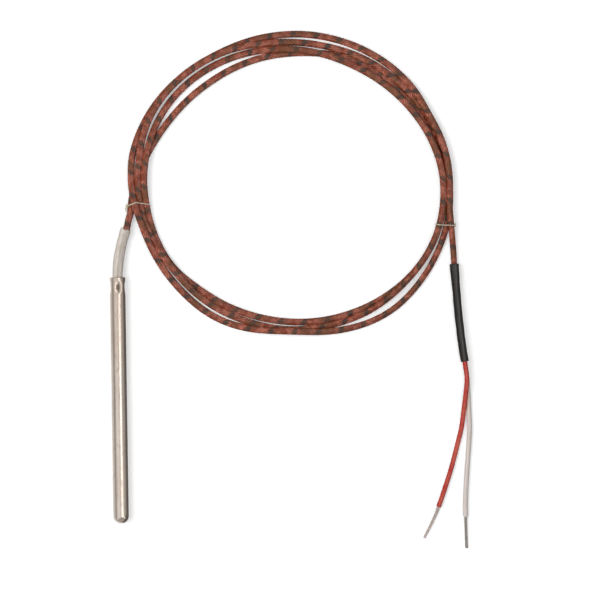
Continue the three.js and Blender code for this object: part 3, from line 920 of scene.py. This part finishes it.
THREAD_RADIUS = 0.2 * MM
THREAD_SIDES = 8
THREAD_TURNS = 3600  # radians for each metre, of its two plies
TIE_STAND_OFF = 0.75 * THREAD_RADIUS  # from the lead to the thread's middle: the thread bites in a little
TIE_REACH = 0.6 * MM  # a strand is under the tie where it passes this near the tie's line
TIE_PAST_OUTER = 3 * MM
TIE_PAST_INNER = 2 * MM
KNOT_HEIGHT = 2.0 * MM
LOOP_WIDTH = 1.1 * MM
TAIL_SHAPE = [(0.0, 0.0, 0.0), (0.4, 0.25, 0.0), (0.8, 0.3, 0.1), (1.0, 0.1, 0.3)]  # along, outward, down

# Each tie runs from its outer point to its inner one, and sways between them. A loop of 0 is none.
LEFT_TIE = {
    "outer": (0.0048, 0.0801), "inner": (0.0136, 0.0804), "sway": 0.0013,
    "knot": 0.2 * MM, "tail": 0.9 * MM, "loop": 3.0 * MM,
}
RIGHT_TIE = {
    "outer": (0.1400, 0.0703), "inner": (0.1315, 0.0708), "sway": 0.0003,
    "knot": 0.12 * MM, "tail": 0.7 * MM, "loop": 0.0,
}


def hull(points):
    """The points' convex outline, anticlockwise."""

    def half(ordered):
        chain = []
        for p in ordered:
            while len(chain) > 1:
                (ax, ay), (bx, by) = chain[-2], chain[-1]
                if (bx - ax) * (p[1] - ay) - (by - ay) * (p[0] - ax) > 0:
                    break
                chain.pop()
            chain.append(p)
        return chain[:-1]

    ordered = sorted(points)
    return half(ordered) + half(ordered[::-1])


def plies(angle, distance, radius):
    """The outline of a two-ply thread: two lobes that turn along it."""
    return circle(angle, distance, radius * (1 + 0.2 * math.cos(2 * (angle - THREAD_TURNS * distance))))


def thread(points):
    route = Route(points, 0.12 * MM)
    return skin(route, even_stations(route, THREAD_RADIUS), THREAD_SIDES, plies)


def thread_loop(start, along, across, length, width):
    """A loop of thread that leaves a knot and comes back to it."""
    points = []
    for k in range(33):
        turn = TAU * k / 32
        points.append(start + along * length / 2 * (math.cos(turn) - 1) + across * width / 2 * math.sin(turn))
    return thread(points)


def thread_knot(middle, along, inward, size):
    """An overhand knot, as a trefoil of thread."""
    points = []
    for k in range(49):
        t = TAU * k / 48
        x = (math.sin(t) + 2 * math.sin(2 * t)) * size
        y = (math.cos(t) - 2 * math.cos(2 * t)) * size
        z = -math.sin(3 * t) * size
        points.append(middle + along * x + UP * y * 0.8 + inward * z)
    return thread(points)


def thread_tail(start, along, inward, length):
    """A cut end that leaves a knot, swings outward and droops."""
    points = []
    for forward, outward, down in TAIL_SHAPE:
        points.append(start + along * forward * length - inward * outward * length - UP * down * length)
    return thread(points)


def strands_under(outer, inner, inward, along):
    """Points just off the surface of the strands under a tie, as (distance inward, height)."""
    section = []
    reach = (inner - outer).length + TIE_PAST_INNER
    for p in lead_route.points:
        offset = p - outer
        if abs(offset.dot(along)) < TIE_REACH and -TIE_PAST_OUTER < offset.dot(inward) < reach:
            for k in range(16):
                across = (LEAD_WIDE + TIE_STAND_OFF) * math.cos(TAU * k / 16)
                above = (LEAD_LOW + TIE_STAND_OFF) * math.sin(TAU * k / 16)
                section.append((round(offset.dot(inward) + across, 6), round(p.z + above, 6)))
    return section


def make_tie(name, node, tie):
    """A thread pulled tight round the strands that cross the line from the outer point to the inner one."""
    outer, inner = Vector(tie["outer"]).to_3d(), Vector(tie["inner"]).to_3d()
    inward = (inner - outer).normalized()
    along = Vector((-inward.y, inward.x, 0))
    ring = hull(strands_under(outer, inner, inward, along))
    width = max(u for u, _ in ring)
    points = []
    for u, z in [*ring, ring[0], ring[1]]:
        over_the_top = z > LEAD_RADIUS * 2
        sway = tie["sway"] * math.sin(math.pi * min(1, max(0, u / width))) if over_the_top else 0.0
        points.append(outer + inward * u + along * sway + UP * max(z, 1.5 * THREAD_RADIUS))
    knot_at = outer + inward * min(u for u, _ in ring) + UP * KNOT_HEIGHT
    parts = [thread(points), thread_knot(knot_at, along, inward, tie["knot"])]
    if tie["loop"]:
        parts.append(thread_loop(knot_at + along * 0.4 * MM, along, inward, tie["loop"], LOOP_WIDTH))
    parts += [thread_tail(knot_at, along * way, inward, tie["tail"]) for way in (1, -1)]
    vertices, faces, lay = join(parts)
    piece = add_piece(name, vertices, faces, [thread_material], lay)
    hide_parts(node)
    return piece


thread_material = fabric_look("cotton_thread", rgb(228, 216, 190), rgb(246, 238, 220), rgb(200, 182, 152),
                              1.0, 0.85, (3000.0, 6.0, 1.0))
tie_left = make_tie("tie_left", "coil_tie_left", LEFT_TIE)
tie_right = make_tie("tie_right", "coil_tie_right", RIGHT_TIE)

# -------------------------------- the probe

TURNED_SIDES = 112
STRAIGHT_PART = 0.04  # the sheath is a plain cylinder this far each way from the origin
LIP = 0.22 * MM
TIP_CORNER = 3.0 * MM
SPIGOT_RADIUS = 2.3 * MM  # the part of the plug that is inside the tube
SPIGOT_LENGTH = 2 * MM
NEAR_AXIS = 0.02 * MM
WELD_LUMPS = [(0.4, 1.0, 2.3), (-0.3, 1.4, 1.7), (0.24, 2.1, 1.6)]  # height, angle, distance from the tip
LUMP_HALF_ANGLE = 0.22
LUMP_HALF_LENGTH = 0.6 * MM


def crimp_depth(angle, y):
    """How far the crimping tool has pressed the wall in."""
    depth = 0.0
    for i in range(CRIMP_COUNT):
        off = angle - math.pi / 2 - CRIMP_LEAN - TAU * i / CRIMP_COUNT
        off = math.atan2(math.sin(off), math.cos(off))
        reach = math.hypot((y - CRIMP_Y) / CRIMP_HALF_LENGTH, off * SHEATH_RADIUS / CRIMP_HALF_WIDTH)
        depth = max(depth, CRIMP_DEPTH * math.cos(min(1.0, reach) * math.pi / 2) ** 1.4)
    return depth


def turned(profile, dent):
    """A skin turned about the probe's axis from (radius, y) points, the last joined to the first."""
    sides = TURNED_SIDES
    vertices, faces = [], []
    for radius, y in profile:
        for k in range(sides):
            angle = TAU * k / sides
            r = radius - dent(angle, y)
            vertices.append((r * math.cos(angle), y, AXIS_Z + r * math.sin(angle)))
    rings = len(profile)
    for i in range(rings):
        j = (i + 1) % rings
        for k in range(sides):
            m = (k + 1) % sides
            faces.append((i * sides + k, j * sides + k, j * sides + m, i * sides + m))
    return vertices, faces


def make_sheath():
    outer, bore = SHEATH_RADIUS, SHEATH_RADIUS - SHEATH_WALL
    rows = [WELD_Y, WELD_Y + 0.3 * MM]
    rows += [mix(-STRAIGHT_PART, STRAIGHT_PART, i / 16) for i in range(17)]
    rows += [mix(CRIMP_Y - CRIMP_HALF_LENGTH, MOUTH_Y - LIP, i / 36) for i in range(37)]
    outside = [(outer, y) for y in rows]
    middle = (outer + bore) / 2
    rim = []
    for k in range(1, 8):
        turn = math.pi * k / 8
        rim.append((middle + (outer - bore) / 2 * math.cos(turn), MOUTH_Y - LIP + LIP * math.sin(turn)))
    inside = [(bore, y) for _, y in reversed(outside)]
    vertices, faces = turned([*outside, *rim, *inside], crimp_depth)
    material = steel_look("stainless", rgb(186, 176, 167), rgb(172, 158, 146), rgb(124, 110, 98), 0.25)
    piece = add_piece("sheath_tube", vertices, faces, [material], sharp=60)
    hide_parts("probe_sheath")
    return material


def weld_ripple(angle, y):
    """The weld's fine, uneven waves, strongest on the end face, and its few lumps."""
    share = max(0.0, 1 - (y - TIP_Y) / (WELD_Y - TIP_Y))
    wave = math.sin(9 * angle + 3800 * y) + math.sin(4 * angle + 1.3)
    lumps = 0.0
    for height, turn, length in WELD_LUMPS:
        off_turn = (angle - turn) / LUMP_HALF_ANGLE
        off_length = (y - TIP_Y - length * MM) / LUMP_HALF_LENGTH
        lumps += height * MM * math.exp(-(off_turn ** 2 + off_length ** 2))
    return 0.025 * MM * share * wave - lumps


def make_tip(tube_material):
    profile = [(NEAR_AXIS, TIP_Y)]
    for k in range(25):
        turn = math.pi / 2 * k / 24
        inset = TIP_CORNER - TIP_CORNER * math.sin(turn)
        profile.append((SHEATH_RADIUS - inset, TIP_Y + TIP_CORNER * (1 - math.cos(turn))))
    profile += [(radius, WELD_Y) for radius in (SHEATH_RADIUS, SPIGOT_RADIUS)]
    profile += [(radius, WELD_Y + SPIGOT_LENGTH) for radius in (SPIGOT_RADIUS, NEAR_AXIS)]
    vertices, faces = turned(profile, weld_ripple)
    piece = add_piece("weld_tip", vertices, faces, [tube_material], sharp=60)
    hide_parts("sheath_tip_plug")


make_tip(make_sheath())

# -------------------------------- what the sheath hides

ceramic = ceramic_look("alumina", rgb(232, 226, 212), rgb(244, 240, 230), 0.55)
cement = ceramic_look("cement", rgb(196, 188, 172), rgb(220, 212, 198), 0.9)
hidden = {
    "measuring_junction": iron_look, "iron_wire_hot_end": iron_look,
    "constantan_wire_hot_end": constantan_look, "potting_cement": cement,
}
hidden.update({name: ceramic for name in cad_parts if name.startswith("insulator_bead")})
for node_name, node_look in hidden.items():
    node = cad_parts[node_name]
    if not node.material_slots:
        node.data.materials.append(node_look)
    for slot in node.material_slots:
        slot.material = node_look
